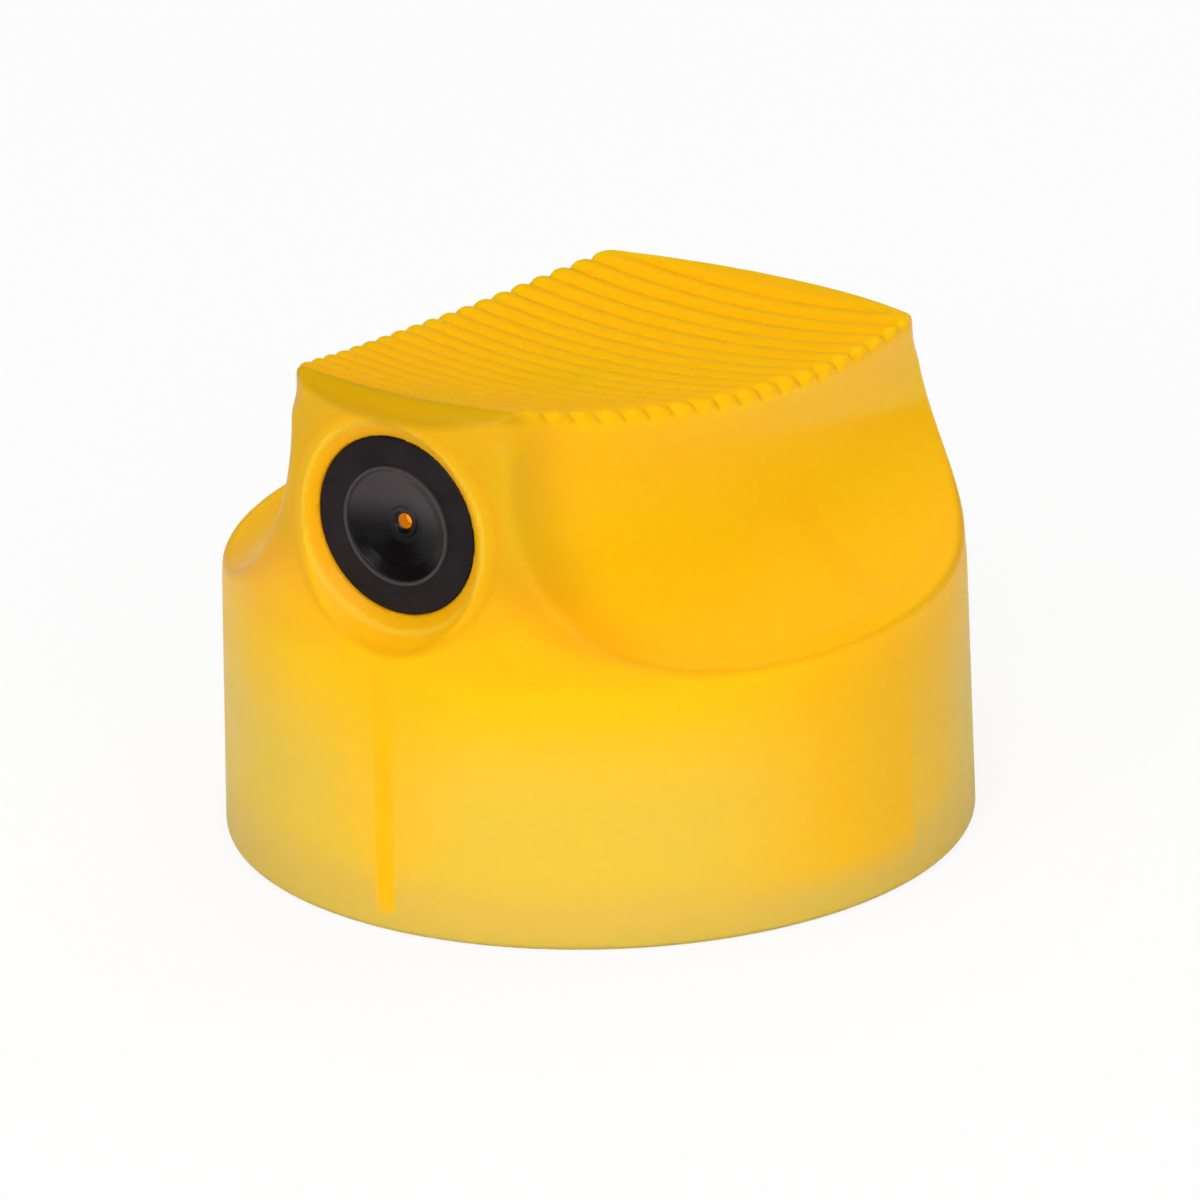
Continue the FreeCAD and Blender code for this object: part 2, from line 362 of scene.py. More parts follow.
def look_up(values, points):
    """Grid values at points, blended between the eight grid corners round each."""
    xs, ys, zs = grid_axes()
    place = (points - np.array([xs[0], ys[0], zs[0]])) / STEP
    top = np.array(values.shape) - 2
    base = np.clip(np.floor(place).astype(int), 0, top)
    part = np.clip(place - base, 0, 1)
    out = np.zeros(len(points))
    for corner in range(8):
        bit = np.array([corner & 1, corner >> 1 & 1, corner >> 2 & 1])
        weight = np.prod(np.where(bit, part, 1 - part), axis=1)
        out += weight * values[tuple((base + bit).T)]
    return out


def thickness(solid, points, normals, reach, blur_mm):
    """Plastic in millimetres that lies behind each point, within a reach, softly blurred."""
    grid = blurred(solid, blur_mm / STEP)
    total = np.zeros(len(points))
    for k in range(DEPTH_SAMPLES):
        depth = reach * (k + 0.5) / DEPTH_SAMPLES
        total += look_up(grid, points - normals * depth) * reach / DEPTH_SAMPLES
    return total


def mesh_object(name, points, faces, normals=None):
    mesh = bpy.data.meshes.new(name)
    size = faces.shape[1]
    mesh.vertices.add(len(points))
    mesh.vertices.foreach_set("co", (points * MM).astype(np.float32).ravel())
    mesh.loops.add(faces.size)
    mesh.loops.foreach_set("vertex_index", faces.astype(np.int32).ravel())
    mesh.polygons.add(len(faces))
    mesh.polygons.foreach_set("loop_start", np.arange(0, faces.size, size, dtype=np.int32))
    mesh.update(calc_edges=True)
    mesh.polygons.foreach_set("use_smooth", np.ones(len(faces), bool))
    mesh.validate()
    if normals is not None:
        mesh.normals_split_custom_set_from_vertices(normals.astype(np.float32))
    obj = bpy.data.objects.new(name, mesh)
    bpy.context.scene.collection.objects.link(obj)
    return obj


def set_attribute(obj, name, values):
    layer = obj.data.attributes.new(name, "FLOAT", "POINT")
    layer.data.foreach_set("value", values.astype(np.float32))


# Bands of tone. A pair says where a tone begins and where it is full, along what it follows:
# _FORWARD and _BACK along Y, _UP and _DOWN along Z, _SIDE outwards along X, _WITHIN towards the
# nozzle's axis, _SKIN, _SCOOP and _PAD the distance to the envelope, the scoop and the pad, and
# _SOFT across the tone's own outline. What shrinks towards the full tone has a minus sign.
FRONT_FORWARD, FRONT_UP = (6.2, 8.8), (8.4, 10.6)
NOZZLE_FORWARD = (8.0, 8.6)
# Band of the painted shade on the pad's rounded front edge.
BROW_END_DEPTH, BROW_SAG, BROW_HALF_WIDTH = 0.4, 0.42, 3.2
BROW_FORWARD, BROW_SOFT = (7.9, 8.5), (-0.16, 0.16)
MOUTH_WITHIN, MOUTH_FORWARD = (-2.82, -2.7), (5.2, 5.6)
# Painted highlight: a pale ring round the edge of the nozzle's mouth.
MOUTH_HIGHLIGHT_R, MOUTH_HIGHLIGHT_SOFT = 2.88, (-0.1, -0.02)
BOSS_WITHIN, BOSS_EDGE_SOFT = (-3.55, -3.3), (-0.2, -0.02)
# Band of the painted shade along the rim between the scoops and the skirt.
RIM_SHADE_SKIN, RIM_SHADE_DOWN = (-0.26, -0.03), (-9.4, -8.0)
# Bands of the painted shade along the front edges where the scoops meet the round wall.
CORNER_SKIN, CORNER_SCOOP = (-1.3, -0.1), (-1.0, -0.1)
CORNER_UP, CORNER_DOWN, CORNER_FORWARD = (7.6, 8.8), (-11.6, -9.6), (4, 7)
# Bands of the painted shade on the pad's rounded side edges.
PAD_EDGE_SIDE, PAD_EDGE_PAD = (-0.6, -0.15), (-0.5, -0.25)
STRIP_PAD, STRIP_SOFT = (0.36, 0.46), (-0.12, 0.12)
STRIP_BACK, STRIP_SKIN = (-7.0, 8.5), (0.02, 0.2)
WEB_LINE_HALF, WEB_LINE_SPREAD = 0.25, 0.014
WEB_LINE_UP, WEB_SOFT = (0.45, 0.7), (-0.05, 0.05)
WEB_FACE_GAP = 0.25
WEB_FACE_BACK, WEB_FACE_UP, WEB_FACE_SIDE = (-7.0, -2.0), (0.5, 1.7), (4, 6)
# Band of the painted light in the pad's rib grooves.
GROOVE_LIGHT_PAD = (-0.6, -0.3)


def tones(points):
    """Where the plastic looks different: some tones follow what lies behind it, and some are painted
    shade, painted light and a painted highlight where it turns.
    """
    x, y, z = np.abs(points[:, 0]), points[:, 1], points[:, 2]
    below_pad = pad_height(x, y) - z
    in_skin = outer_r(z) - np.hypot(x, y)
    in_scoop = scoop(x, y, z)
    from_nozzle = np.hypot(x, z - NOZZLE_Z)
    at_front = smooth(-y, *NOZZLE_FORWARD)

    front = smooth(-y, *FRONT_FORWARD) * smooth(z, *FRONT_UP)
    # Painted shade on the pad's rounded front edge, reaching further down in the middle.
    across = np.clip(x / BROW_HALF_WIDTH, 0, 1)
    brow_low = BROW_END_DEPTH + BROW_SAG * (1 - across**2)
    brow_shade = smooth(-y, *BROW_FORWARD) * smooth(brow_low - below_pad, *BROW_SOFT)
    mouth = smooth(-from_nozzle, *MOUTH_WITHIN) * smooth(-y, *MOUTH_FORWARD)
    # Painted highlight round the edge of the nozzle's mouth.
    mouth_highlight = smooth(-np.abs(from_nozzle - MOUTH_HIGHLIGHT_R), *MOUTH_HIGHLIGHT_SOFT) * at_front
    boss = smooth(-from_nozzle, *BOSS_WITHIN) * at_front
    boss_edge = smooth(-np.abs(from_nozzle - BOSS_R), *BOSS_EDGE_SOFT) * at_front

    # Painted shade along the rim between the scoops and the skirt.
    rim_shade = smooth(-in_skin, *RIM_SHADE_SKIN) * smooth(in_scoop, *RIM_SHADE_SKIN) * smooth(-z, *RIM_SHADE_DOWN)
    # Painted shade along the front edges where the scoops meet the round wall.
    corner = smooth(-in_skin, *CORNER_SKIN) * smooth(in_scoop, *CORNER_SCOOP)
    corner = corner * smooth(z, *CORNER_UP) * smooth(-z, *CORNER_DOWN)
    corner = corner * smooth(-y, *CORNER_FORWARD)
    # Painted shade on the pad's rounded side edges.
    pad_edge_shade = smooth(x - pad_half_width(y), *PAD_EDGE_SIDE) * smooth(-below_pad, *PAD_EDGE_PAD)
    strip_low = STRIP_Z + STRIP_SLOPE * y
    strip = smooth(below_pad, *STRIP_PAD) * smooth(z - strip_low, *STRIP_SOFT)
    strip = strip * smooth(y, *STRIP_BACK) * smooth(in_skin, *STRIP_SKIN)

    web_half = WEB_LINE_HALF + WEB_LINE_SPREAD * z
    web = smooth(web_half - x, *WEB_SOFT) * smooth(z, *WEB_LINE_UP) * (y < 0)
    web_front_y = CROSS_WEB_Y - WEB / 2 - WEB_FACE_GAP
    web_face = smooth(y, *WEB_FACE_BACK) * smooth(web_front_y - y, *WEB_SOFT)
    web_face = web_face * smooth(z, *WEB_FACE_UP) * smooth(x, *WEB_FACE_SIDE)
    # Painted light in the pad's rib grooves, lifting the shade that falls in them.
    groove_light = rib_relief(y) / RIB_DEPTH * smooth(-below_pad, *GROOVE_LIGHT_PAD)
    return {
        "front": front, "brow_shade": brow_shade, "mouth": mouth, "mouth_highlight": mouth_highlight, "boss": boss,
        "boss_edge": boss_edge, "rim_shade": rim_shade, "corner": corner, "pad_edge_shade": pad_edge_shade, "web": web,
        "web_face": web_face, "strip": strip, "groove_light": groove_light,
    }


def build_cap():
    """The cap's mesh, and which of its faces lie on the finger pad."""
    values = sample(cap_field)
    points, faces = surface(values)
    points = settle(cap_field, points)
    normals = gradient(cap_field, points)
    normals /= np.linalg.norm(normals, axis=1, keepdims=True)
    made = mesh_object("cap", points, faces, normals)
    solid = np.clip(0.5 - values / STEP, 0, 1)
    near = thickness(solid, points, normals, NEAR_REACH, NEAR_BLUR)
    far = thickness(solid, points, normals, FAR_REACH, FAR_BLUR)
    set_attribute(made, "near_depth", near)
    set_attribute(made, "far_depth", far)
    for name, mask in tones(points).items():
        set_attribute(made, name, mask)
    x, y, z = points[faces].mean(1).T
    faces_up = normals[faces].mean(1)[:, 2] > PAD_LEVEL
    return made, (z - pad_height(np.abs(x), y) > -PAD_SKIN) & faces_up


def rounded_line(corners, radii, arc_steps=6):
    """The corners of an open line, each rounded by its radius."""
    least_cut, most_of_side = 1e-4, 0.45
    out = [np.array(corners[0], float)]
    for before, corner, after, r in zip(corners, corners[1:], corners[2:], radii[1:]):
        before, corner, after = (np.array(v, float) for v in (before, corner, after))
        a, b = before - corner, after - corner
        a_long, b_long = np.linalg.norm(a), np.linalg.norm(b)
        a, b = a / a_long, b / b_long
        turn = math.acos(max(-1.0, min(1.0, float(a @ b))))
        limit = min(most_of_side * a_long, most_of_side * b_long)
        cut = min(r / math.tan(turn / 2), limit) if r else 0
        if cut < least_cut:
            out.append(corner)
            continue
        for k in range(arc_steps + 1):
            t = k / arc_steps
            start, end = corner + a * cut, corner + b * cut
            out.append((1 - t) ** 2 * start + 2 * t * (1 - t) * corner + t * t * end)
    out.append(np.array(corners[-1], float))
    return np.array(out)


def turned(name, line, segments):
    """Lathe mesh of a line of (radius, depth) round the nozzle's axis."""
    angles = np.arange(segments) * 2 * math.pi / segments
    r, depth = line[:, 0][:, None], line[:, 1][:, None]
    x = r * np.cos(angles)
    z = NOZZLE_Z + r * np.sin(angles)
    y = FACE_Y + depth + 0 * angles
    points = np.stack([x, y, z], 2).reshape(-1, 3)
    rows = len(line)
    i, j = np.meshgrid(np.arange(rows - 1), np.arange(segments), indexing="ij")
    here, side = i * segments + j, i * segments + (j + 1) % segments
    faces = np.stack([here, side, side + segments, here + segments], 2).reshape(-1, 4)
    return mesh_object(name, points, faces)


# Outline of the insert: radius, depth behind its front ring, and rounding of the corner.
INSERT_PLAY, INSERT_BORE_DEPTH = 0.005, 0.9
INSERT_SIDE_R = POCKET_R - INSERT_PLAY
INSERT_BORE_END = INSERT_LENGTH - INSERT_BORE_DEPTH
INSERT_BACK = [
    (0.0, INSERT_BORE_END, 0), (CHANNEL_R, INSERT_BORE_END, 0.05),
    (CHANNEL_R, INSERT_LENGTH, 0.1), (INSERT_SIDE_R, INSERT_LENGTH, 0.15),
]
INSERT_RING = [(INSERT_SIDE_R, 0.0, 0.08)]
INSERT_LIP = [(1.67, 0.0, 0.03), (1.64, -0.06, 0.02), (1.56, -0.06, 0.02), (1.52, 0.01, 0.05)]
INSERT_DISH = [(1.2, 0.16, 0.3), (0.6, 0.33, 0.2)]
ORIFICE_RING = [(0.44, 0.36, 0.05), (0.41, 0.30, 0.03), (0.31, 0.30, 0.03), (0.25, 0.38, 0.05)]
ORIFICE = [(0.2, 0.42, 0.03), (0.2, 0.76, 0.02), (0.0, 0.76, 0)]
INSERT_SEGMENTS = 160
WELD = 1e-4


def build_insert():
    """Back and its bore, then front ring, thin lip, dish, small ring and orifice."""
    outline = INSERT_BACK + INSERT_RING + INSERT_LIP + INSERT_DISH + ORIFICE_RING + ORIFICE
    corners = [(r, depth) for r, depth, _ in outline]
    radii = [rounding for _, _, rounding in outline]
    made = turned("insert", rounded_line(corners, radii), INSERT_SEGMENTS)
    work = bmesh.new()
    work.from_mesh(made.data)
    bmesh.ops.remove_doubles(work, verts=work.verts, dist=WELD * MM)
    work.to_mesh(made.data)
    work.free()
    return made


class Nodes:
    """Short calls that add shader nodes to one material."""

    def __init__(self, name):
        self.material = bpy.data.materials.new(name)
        self.material.use_nodes = True
        self.tree = self.material.node_tree
        self.tree.nodes.clear()
        self.output = self.tree.nodes.new("ShaderNodeOutputMaterial")

    def add(self, kind, **settings):
        node = self.tree.nodes.new(kind)
        for key, value in settings.items():
            setattr(node, key, value)
        return node

    def put(self, socket, value):
        if isinstance(value, bpy.types.NodeSocket):
            self.tree.links.new(value, socket)
        else:
            socket.default_value = value

    def math(self, operation, *values):
        node = self.add("ShaderNodeMath", operation=operation)
        for socket, value in zip(node.inputs, values):
            self.put(socket, value)
        return node.outputs[0]

    def ease(self, value, low, high, to_low=0.0, to_high=1.0):
        node = self.add("ShaderNodeMapRange", interpolation_type="SMOOTHSTEP")
        for socket, v in zip(node.inputs, (value, low, high, to_low, to_high)):
            self.put(socket, v)
        return node.outputs[0]

    def ease_mm(self, value, low, high):
        """An eased rise over a length in metres, between two given in millimetres."""
        return self.ease(value, low * MM, high * MM)

    def mix(self, share, a, b):
        node = self.add("ShaderNodeMix", data_type="RGBA")
        self.put(node.inputs[0], share)
        self.put(node.inputs[6], a)
        self.put(node.inputs[7], b)
        return node.outputs[2]

    def layer(self, colour, *layers):
        """The colour with layers over it, each an attribute's name, a strength and a colour."""
        for name, strength, over in layers:
            share = self.math("MULTIPLY", self.attribute(name), strength)
            colour = self.mix(share, colour, over)
        return colour

    def noise(self, vector, scale, detail):
        node = self.add("ShaderNodeTexNoise")
        self.put(node.inputs["Vector"], vector)
        self.put(node.inputs["Scale"], scale)
        self.put(node.inputs["Detail"], detail)
        return node.outputs["Fac"]

    def bump(self, height, distance, strength, normal=None):
        node = self.add("ShaderNodeBump")
        self.put(node.inputs["Strength"], strength)
        self.put(node.inputs["Distance"], distance)
        self.put(node.inputs["Height"], height)
        if normal is not None:
            self.put(node.inputs["Normal"], normal)
        return node.outputs[0]

    def attribute(self, name):
        return self.add("ShaderNodeAttribute", attribute_name=name).outputs["Fac"]

    def place(self):
        return self.add("ShaderNodeTexCoord").outputs["Object"]

    def split(self, vector):
        node = self.add("ShaderNodeSeparateXYZ")
        self.put(node.inputs[0], vector)
        return node.outputs[0], node.outputs[1], node.outputs[2]


def from_srgb(r, g, b):
    """Scene colour of a colour given as 0 to 255 on the screen."""
    out = []
    for c in (r, g, b):
        c = c / 255
        out.append(c / 12.92 if c <= 0.04045 else ((c + 0.055) / 1.055) ** 2.4)
    return (*out, 1.0)


# Colours of the cap, as they look on the screen under plain light.
SKIRT_LOW = from_srgb(222, 184, 76)
SKIRT_MID = from_srgb(229, 192, 60)
SKIRT_TOP = from_srgb(254, 192, 0)
CORE = from_srgb(255, 185, 0)
HEAD = from_srgb(255, 188, 0)
HEAD_DEEP = from_srgb(254, 178, 0)
SCOOP = from_srgb(254, 184, 0)
PAD = from_srgb(255, 172, 0)
PAD_FRONT = from_srgb(255, 164, 0)
# Painted light in the pad's rib grooves, lifting the shade that falls in them.
PAD_GROOVE_LIGHT = from_srgb(255, 184, 0)
# Painted shade on the pad's rounded side edges.
PAD_EDGE_SHADE = from_srgb(236, 164, 0)
FRONT = from_srgb(210, 164, 14)
# Painted shade on the pad's rounded front edge.
BROW_SHADE = from_srgb(192, 148, 0)
MOUTH = from_srgb(255, 170, 0)
# Painted highlight round the edge of the nozzle's mouth.
MOUTH_HIGHLIGHT = from_srgb(255, 206, 70)
BOSS = from_srgb(240, 174, 0)
EDGE = from_srgb(214, 156, 4)
# Painted shade along the rim between the scoops and the skirt.
RIM_SHADE = from_srgb(206, 148, 0)
# Painted shade along the front edges where the scoops meet the round wall.
CORNER_SHADE = from_srgb(222, 152, 0)
STRIP = from_srgb(248, 193, 44)


# Plastic of the cap. Noise scales are in waves to the metre, bumps and spread in millimetres.
CAP_IOR, SPREAD_BY_COLOUR = 1.49, (0.7, 0.52, 0.15)
GRAIN_SCALE, GRAIN_DETAIL, GRAIN_STRENGTH = 5200.0, 2.0, 0.6
FLOW_SCALE, FLOW_DETAIL, FLOW_DEPTH, FLOW_STRENGTH = 700.0, 4.0, 0.05, 0.3
FLOW_SPAN, CAP_ROUGHNESS = (0.3, 0.7), (0.33, 0.42)
BODY_GLOSS, BODY_SCATTER, BODY_SPREAD, BODY_GRAIN = 0.12, 0.7, 2.5, 0.012
PAD_GLOSS, PAD_SCATTER, PAD_SPREAD, PAD_GRAIN = 0.03, 1.0, 2.5, 0.016

# Slow unevenness of the tones, and how far it shifts each of them.
DRIFT_SCALE, PAD_DRIFT_SCALE, DRIFT_DETAIL = 260.0, 420.0, 4.0
NEAR_DRIFT, FAR_DRIFT, HEIGHT_DRIFT, PAD_DRIFT = 0.2, 0.5, 0.6, 4.0

# Heights between which one colour of the cap runs into the next, and depths of plastic.
LOW_TO_MID, MID_TO_TOP, SKIRT_TO_HEAD = (0.6, 2.4), (3.6, 7.2), (7.0, 7.9)
SCOOP_TO_HEAD, HEAD_DEEP_END = (9.4, 11.4), (10.5, 9.4)
CORE_DEPTH, CORE_STRENGTH = (1.3, 2.6), 0.5
HEAD_DEPTH, HEAD_DEEP_STRENGTH = (1.2, 2.2), 0.7
PAD_FRONT_TO_BACK = (-9.0, 3.0)


def cap_shader(n, place, colour, gloss, scatter, spread, grain_depth):
    """Plastic that light spreads in, with a fine grain and a slow flow on its surface."""
    shader = n.add("ShaderNodeBsdfPrincipled")
    n.put(shader.inputs["Base Color"], colour)
    grain = n.noise(place, GRAIN_SCALE, GRAIN_DETAIL)
    flow = n.noise(place, FLOW_SCALE, FLOW_DETAIL)
    n.put(shader.inputs["Roughness"], n.ease(flow, *FLOW_SPAN, *CAP_ROUGHNESS))
    shader.inputs["IOR"].default_value = CAP_IOR
    shader.inputs["Specular IOR Level"].default_value = gloss
    shader.inputs["Subsurface Weight"].default_value = scatter
    shader.inputs["Subsurface Radius"].default_value = SPREAD_BY_COLOUR
    shader.inputs["Subsurface Scale"].default_value = spread * MM
    fine = n.bump(grain, grain_depth * MM, GRAIN_STRENGTH)
    n.put(shader.inputs["Normal"], n.bump(flow, FLOW_DEPTH * MM, FLOW_STRENGTH, fine))
    n.tree.links.new(shader.outputs[0], n.output.inputs[0])


def cap_material():
    """Moulded plastic of the body. It is deeper where more plastic lies behind the surface."""
    n = Nodes("cap_plastic")
    place = n.place()
    _, _, z = n.split(place)
    drift = n.math("SUBTRACT", n.noise(place, DRIFT_SCALE, DRIFT_DETAIL), 0.5)
    near = n.math("ADD", n.attribute("near_depth"), n.math("MULTIPLY", drift, NEAR_DRIFT))
    far = n.math("ADD", n.attribute("far_depth"), n.math("MULTIPLY", drift, FAR_DRIFT))
    height = n.math("ADD", z, n.math("MULTIPLY", drift, HEIGHT_DRIFT * MM))

    skirt = n.mix(n.ease_mm(height, *LOW_TO_MID), SKIRT_LOW, SKIRT_MID)
    skirt = n.mix(n.ease_mm(height, *MID_TO_TOP), skirt, SKIRT_TOP)
    core = n.math("MULTIPLY", n.ease(far, *CORE_DEPTH), CORE_STRENGTH)
    skirt = n.mix(core, skirt, CORE)
    skirt = n.layer(skirt, ("web_face", 0.85, CORE), ("web", 1.0, CORE))

    thick = n.math("MULTIPLY", n.ease(near, *HEAD_DEPTH), n.ease_mm(z, *HEAD_DEEP_END))
    head = n.mix(n.ease_mm(z, *SCOOP_TO_HEAD), SCOOP, HEAD)
    head = n.mix(n.math("MULTIPLY", thick, HEAD_DEEP_STRENGTH), head, HEAD_DEEP)

    colour = n.mix(n.ease_mm(height, *SKIRT_TO_HEAD), skirt, head)
    # Some of these layers are painted: a highlight round the mouth's edge, and shade along the rim,
    # the front edges beside the scoops, and the pad's side and front edges.
    colour = n.layer(
        colour, ("strip", 1.0, STRIP), ("front", 0.85, FRONT), ("boss", 0.5, BOSS),
        ("mouth", 1.0, MOUTH), ("mouth_highlight", 0.4, MOUTH_HIGHLIGHT), ("boss_edge", 0.45, EDGE),
        ("corner", 0.5, CORNER_SHADE), ("rim_shade", 0.7, RIM_SHADE), ("pad_edge_shade", 0.5, PAD_EDGE_SHADE), ("brow_shade", 1.0, BROW_SHADE),
    )
    cap_shader(n, place, colour, BODY_GLOSS, BODY_SCATTER, BODY_SPREAD, BODY_GRAIN)
    return n.material


def pad_material():
    """The finger pad, duller than the rest, with painted light in its grooves and painted shade on
    its side and front edges.
    """
    n = Nodes("pad_plastic")
    place = n.place()
    _, y, _ = n.split(place)
    drift = n.math("SUBTRACT", n.noise(place, PAD_DRIFT_SCALE, DRIFT_DETAIL), 0.5)
    along = n.math("ADD", y, n.math("MULTIPLY", drift, PAD_DRIFT * MM))
    colour = n.mix(n.ease_mm(along, *PAD_FRONT_TO_BACK), PAD_FRONT, PAD)
    # Painted light in the grooves, painted shade on the side and front edges.
    colour = n.layer(
        colour, ("groove_light", 0.5, PAD_GROOVE_LIGHT), ("pad_edge_shade", 0.5, PAD_EDGE_SHADE), ("brow_shade", 1.0, BROW_SHADE)
    )
    cap_shader(n, place, colour, PAD_GLOSS, PAD_SCATTER, PAD_SPREAD, PAD_GRAIN)
    return n.material


# Black plastic of the insert. Radii from its axis are in millimetres.
RING_DARK, RING_LIGHT = from_srgb(16, 9, 12), from_srgb(26, 18, 21)
# The dish's black, and the painted reflection that makes it paler above its middle.
DISH_DARK, DISH_REFLECTION = from_srgb(3, 1, 1), from_srgb(58, 52, 56)
# Painted highlight on the thin lip round the dish, and how strongly it shows.
LIP_HIGHLIGHT, LIP_HIGHLIGHT_STRENGTH = from_srgb(74, 70, 74), 0.6
# Painted glow in the orifice, its colour and strength, standing in for light coming through the
# hole.
ORIFICE_COLOUR, ORIFICE_GLOW = from_srgb(255, 140, 0), 1.5
CLOUD_SCALE, CLOUD_DETAIL, CLOUD_SPAN, CLOUD_ROUGHNESS = 900.0, 4.0, (0.35, 0.7), 0.1
# Heights of the dish's painted reflection, and the radii where the dish begins.
DISH_REFLECTION_RISE, DISH_WITHIN = (-0.35, 0.8), (1.60, 1.48)
LIP_INNER, LIP_OUTER = (1.52, 1.57), (1.68, 1.63)
RING_ROUGHNESS, DISH_ROUGHNESS = 0.42, 0.2
INSERT_IOR, INSERT_GLOSS = 1.5, 0.16
INSERT_GRAIN_SCALE, INSERT_GRAIN, INSERT_GRAIN_STRENGTH = 6500.0, 0.01, 0.5
ORIFICE_WITHIN = (0.22, 0.17)


def insert_material():
    """Dull ring and lip with a painted highlight on the lip, a glossy dish with a painted reflection
    that makes it paler above, and a painted glow in the orifice standing in for light through it.
    """
    n = Nodes("insert_plastic")
    place = n.place()
    x, _, z = n.split(place)
    away_z = n.math("SUBTRACT", z, NOZZLE_Z * MM)
    across, up = n.math("MULTIPLY", x, x), n.math("MULTIPLY", away_z, away_z)
    away = n.math("SQRT", n.math("ADD", across, up))
    cloud = n.noise(place, CLOUD_SCALE, CLOUD_DETAIL)
    ring = n.mix(n.ease(cloud, *CLOUD_SPAN), RING_DARK, RING_LIGHT)
    # Painted reflection: the dish turns paler above the nozzle's axis.
    dish = n.mix(n.ease_mm(away_z, *DISH_REFLECTION_RISE), DISH_DARK, DISH_REFLECTION)
    in_dish = n.ease_mm(away, *DISH_WITHIN)
    colour = n.mix(in_dish, ring, dish)
    # Painted highlight on the lip.
    lip = n.math("MULTIPLY", n.ease_mm(away, *LIP_INNER), n.ease_mm(away, *LIP_OUTER))
    colour = n.mix(n.math("MULTIPLY", lip, LIP_HIGHLIGHT_STRENGTH), colour, LIP_HIGHLIGHT)
    shader = n.add("ShaderNodeBsdfPrincipled")
    n.put(shader.inputs["Base Color"], colour)
    even = n.ease(in_dish, 0.0, 1.0, RING_ROUGHNESS, DISH_ROUGHNESS)
    rough = n.math("ADD", even, n.math("MULTIPLY", cloud, CLOUD_ROUGHNESS))
    n.put(shader.inputs["Roughness"], rough)
    shader.inputs["IOR"].default_value = INSERT_IOR
    shader.inputs["Specular IOR Level"].default_value = INSERT_GLOSS
    grain = n.noise(place, INSERT_GRAIN_SCALE, GRAIN_DETAIL)
    n.put(shader.inputs["Normal"], n.bump(grain, INSERT_GRAIN * MM, INSERT_GRAIN_STRENGTH))
    # Painted glow: the orifice gives off light though it is no lamp.
    glow = n.ease_mm(away, *ORIFICE_WITHIN)
    n.put(shader.inputs["Emission Color"], ORIFICE_COLOUR)
    n.put(shader.inputs["Emission Strength"], n.math("MULTIPLY", glow, ORIFICE_GLOW))
    n.tree.links.new(shader.outputs[0], n.output.inputs[0])
    return n.material


# Floor: how much white the camera sees in it, the noise between its two greys, its half width
# in metres, and how far it lies below the cap in millimetres.
FLOOR_WHITE, FLOOR_SCALE, FLOOR_DETAIL = 0.86, 30.0, 3.0
FLOOR_DARK, FLOOR_LIGHT = (0.86, 0.86, 0.86, 1), (0.9, 0.9, 0.9, 1)
FLOOR_HALF, FLOOR_DROP = 3.0, 0.02
WHITE = (1, 1, 1, 1)


def floor_material():
    """Pale floor. The camera sees it as near white, and it still takes the cap's shadow."""
    n = Nodes("floor")
    path = n.add("ShaderNodeLightPath")
    seen = path.outputs["Is Camera Ray"]
    grain = n.noise(n.place(), FLOOR_SCALE, FLOOR_DETAIL)
    shader = n.add("ShaderNodeBsdfDiffuse")
    n.put(shader.inputs[0], n.mix(grain, FLOOR_DARK, FLOOR_LIGHT))
    glow = n.add("ShaderNodeEmission")
    glow.inputs[0].default_value = WHITE
    mixed = n.add("ShaderNodeMixShader")
    n.put(mixed.inputs[0], n.math("MULTIPLY", seen, FLOOR_WHITE))
    n.tree.links.new(shader.outputs[0], mixed.inputs[1])
    n.tree.links.new(glow.outputs[0], mixed.inputs[2])
    n.tree.links.new(mixed.outputs[0], n.output.inputs[0])
    return n.material


def give(obj, *materials):
    obj.data.materials.clear()
    for material in materials:
        obj.data.materials.append(material)


def floor():
    half = FLOOR_HALF
    mesh = bpy.data.meshes.new("floor")
    corners = [(-half, -half, 0), (half, -half, 0), (half, half, 0), (-half, half, 0)]
    mesh.from_pydata(corners, [], [(0, 1, 2, 3)])
    obj = bpy.data.objects.new("floor", mesh)
    bpy.context.scene.collection.objects.link(obj)
    obj.location.z = -FLOOR_DROP * MM
    give(obj, floor_material())


# Lamps: place and size in metres, and watts. All face the middle of the cap.
LAMPS = {
    "key": ((0.22, -0.82, 0.55), (0.7, 0.6), 5.7),
    "fill": ((0.57, -0.46, 0.30), (0.4, 0.5), 1.6),
    "top": ((0.0, 0.15, 0.8), (0.6, 0.6), 1.9),
}
LAMP_TARGET = (0, 0, 0.007)


def soft_box(name, place, size, watts):
    lamp = bpy.data.lights.new(name, "AREA")
    lamp.shape = "RECTANGLE"
    lamp.size, lamp.size_y = size
    lamp.energy = watts
    obj = bpy.data.objects.new(name, lamp)
    bpy.context.scene.collection.objects.link(obj)
    obj.location = place
    away = Vector(place) - Vector(LAMP_TARGET)
    obj.rotation_mode = "QUATERNION"
    obj.rotation_quaternion = away.to_track_quat("Z", "Y")


# Camera: direction from which the photograph was taken, its roll and its framing. Angles are in
# degrees, the distance and the shifts in metres, the lens and its sensor in millimetres.
VIEW_AZIMUTH, VIEW_ELEVATION, VIEW_ROLL = 34.957, 21.287, 1.519
VIEW_DISTANCE = 0.600
VIEW_SHIFT_RIGHT, VIEW_SHIFT_UP = 0.000121, 0.005611
VIEW_LENS, VIEW_SENSOR = 674.4, 36.0
VIEW_CLIP_NEAR, VIEW_CLIP_FAR = 0.01, 20


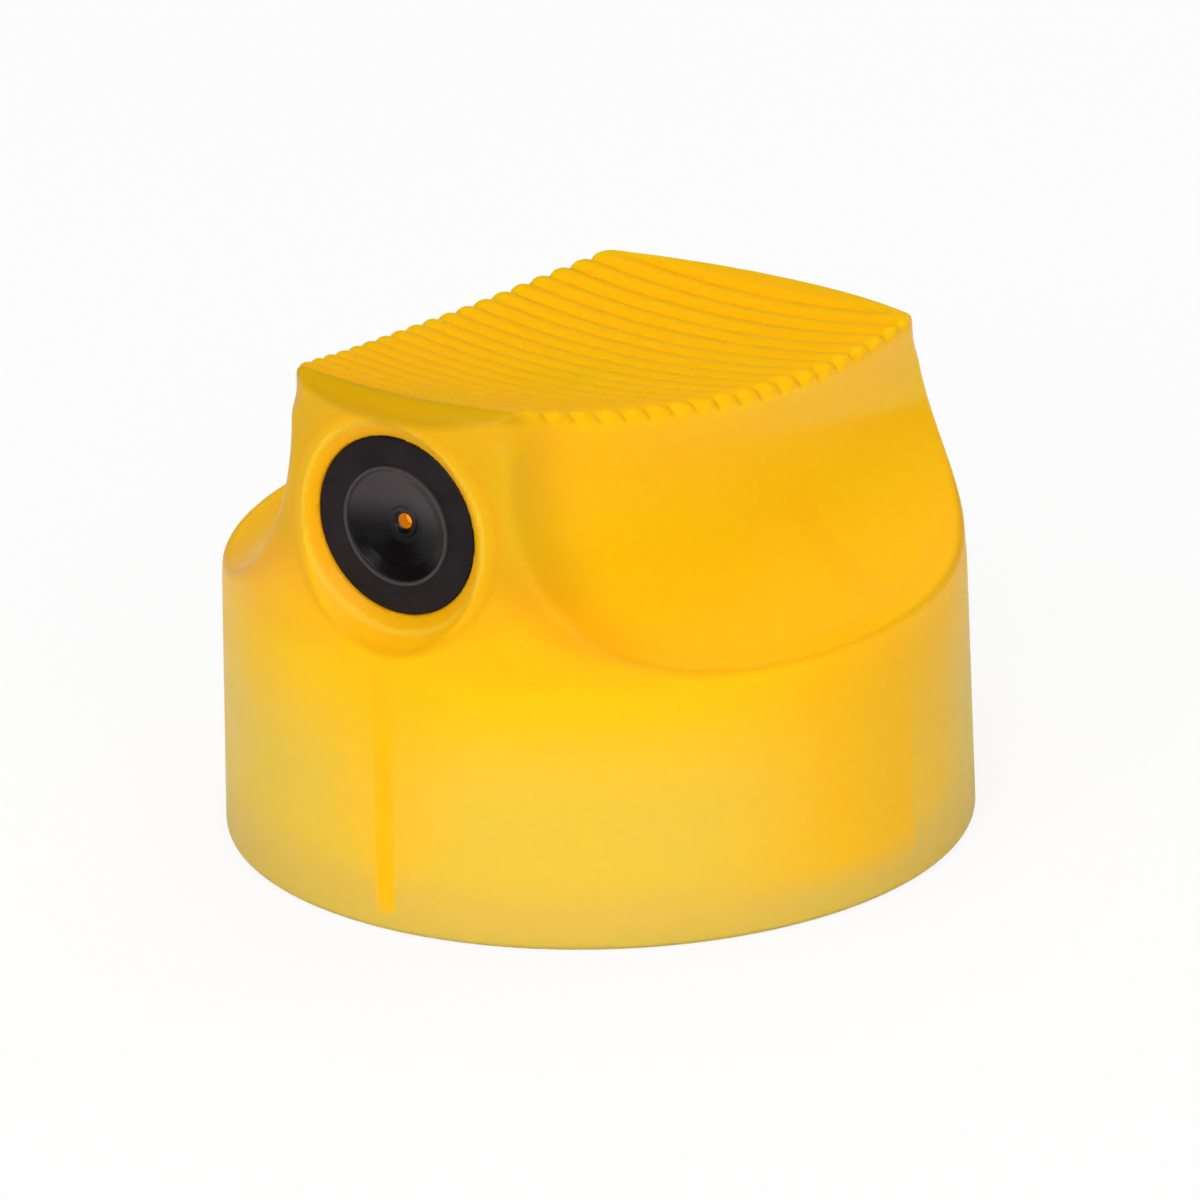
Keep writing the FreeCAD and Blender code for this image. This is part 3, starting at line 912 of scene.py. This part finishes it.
def camera():
    a, e, roll = (math.radians(v) for v in (VIEW_AZIMUTH, VIEW_ELEVATION, VIEW_ROLL))
    back = Vector((math.sin(a) * math.cos(e), -math.cos(a) * math.cos(e), math.sin(e)))
    right = Vector((math.cos(a), math.sin(a), 0))
    up = back.cross(right)
    lens = bpy.data.cameras.new("camera")
    lens.sensor_width = VIEW_SENSOR
    lens.lens = VIEW_LENS
    lens.clip_start, lens.clip_end = VIEW_CLIP_NEAR, VIEW_CLIP_FAR
    obj = bpy.data.objects.new("camera", lens)
    bpy.context.scene.collection.objects.link(obj)
    across = right * math.cos(roll) - up * math.sin(roll)
    upward = right * math.sin(roll) + up * math.cos(roll)
    place = back * VIEW_DISTANCE + right * VIEW_SHIFT_RIGHT + up * VIEW_SHIFT_UP
    turn = Matrix((across, upward, back)).transposed().to_4x4()
    obj.matrix_world = Matrix.Translation(place) @ turn
    bpy.context.scene.camera = obj


# Light of the studio round the object, at the horizon and overhead, and the heights on a unit
# sphere between which it rises. The camera sees plain white.
HORIZON_LIGHT, SKY_LIGHT = 0.18, 0.46
HORIZON_END, SKY_START = 0.1, 0.7


def world():
    made = bpy.data.worlds.new("studio")
    bpy.context.scene.world = made
    made.use_nodes = True
    tree = made.node_tree
    tree.nodes.clear()
    output = tree.nodes.new("ShaderNodeOutputWorld")
    light = tree.nodes.new("ShaderNodeBackground")
    light.inputs[0].default_value = WHITE
    way = tree.nodes.new("ShaderNodeSeparateXYZ")
    rise = tree.nodes.new("ShaderNodeMapRange")
    rise.interpolation_type = "SMOOTHSTEP"
    ramp = (HORIZON_END, SKY_START, HORIZON_LIGHT, SKY_LIGHT)
    for socket, value in zip(list(rise.inputs)[1:], ramp):
        socket.default_value = value
    around = tree.nodes.new("ShaderNodeTexCoord")
    tree.links.new(around.outputs["Generated"], way.inputs[0])
    tree.links.new(way.outputs[2], rise.inputs[0])
    tree.links.new(rise.outputs[0], light.inputs[1])
    seen = tree.nodes.new("ShaderNodeBackground")
    seen.inputs[0].default_value = WHITE
    seen.inputs[1].default_value = 1.0
    path = tree.nodes.new("ShaderNodeLightPath")
    mixed = tree.nodes.new("ShaderNodeMixShader")
    tree.links.new(path.outputs["Is Camera Ray"], mixed.inputs[0])
    tree.links.new(light.outputs[0], mixed.inputs[1])
    tree.links.new(seen.outputs[0], mixed.inputs[2])
    tree.links.new(mixed.outputs[0], output.inputs[0])


bpy.context.scene.view_settings.view_transform = "Standard"
camera()
world()
floor()
for lamp_name, lamp_values in LAMPS.items():
    soft_box(lamp_name, *lamp_values)

cap, on_pad = build_cap()
give(cap, cap_material(), pad_material())
cap.data.polygons.foreach_set("material_index", on_pad.astype(np.int32))
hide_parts("cap_body")
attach(cap, "root")

insert = build_insert()
give(insert, insert_material())
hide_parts("nozzle_insert")
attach(insert, "root")
